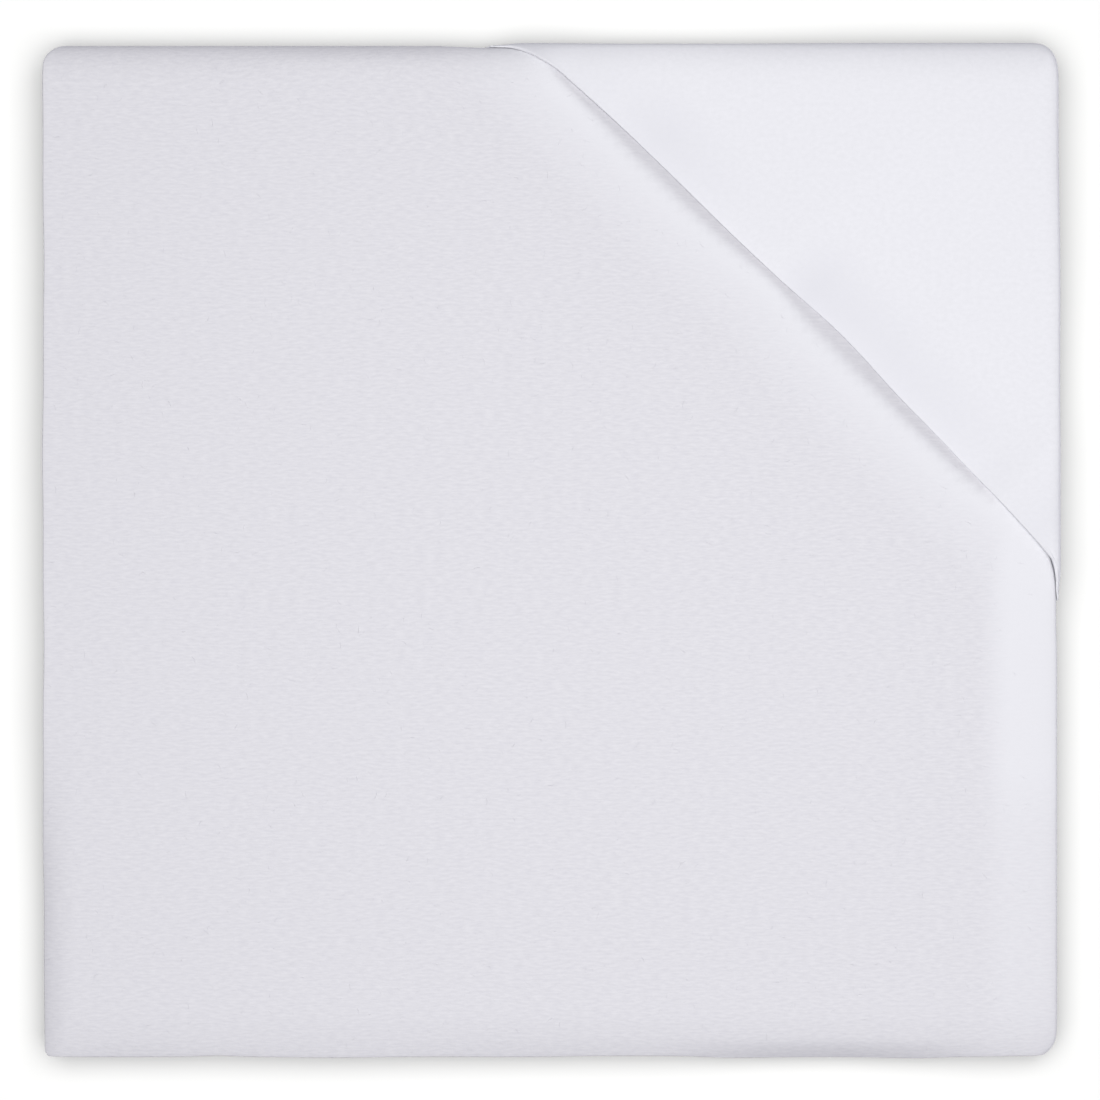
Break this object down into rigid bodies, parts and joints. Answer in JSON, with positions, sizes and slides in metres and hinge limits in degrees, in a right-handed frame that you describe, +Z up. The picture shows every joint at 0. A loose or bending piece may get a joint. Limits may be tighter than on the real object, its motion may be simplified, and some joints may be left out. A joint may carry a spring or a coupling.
{
  "type": "folded waterproof mattress protector",
  "caption": "White knitted mattress protector folded into a flat square pack, with the smoother cloth of a corner pocket turned over one corner.",
  "frame": {"origin": "on the surface it lies on, under the middle of the folded pack", "axes": "+Z up, +Y towards the round folded spine, +X towards the side that the pocket's corner shares"},
  "size_m": [0.3014, 0.301, 0.0138],
  "materials": {
    "panel_cloth": "matte white fine knit with short streaks across, membrane-backed",
    "pocket_cloth": "matte white smooth stretch knit"
  },
  "bodies": {
    "root": {"folded_panel": "panel_cloth", "corner_pocket": "pocket_cloth"}
  },
  "joints": []
}
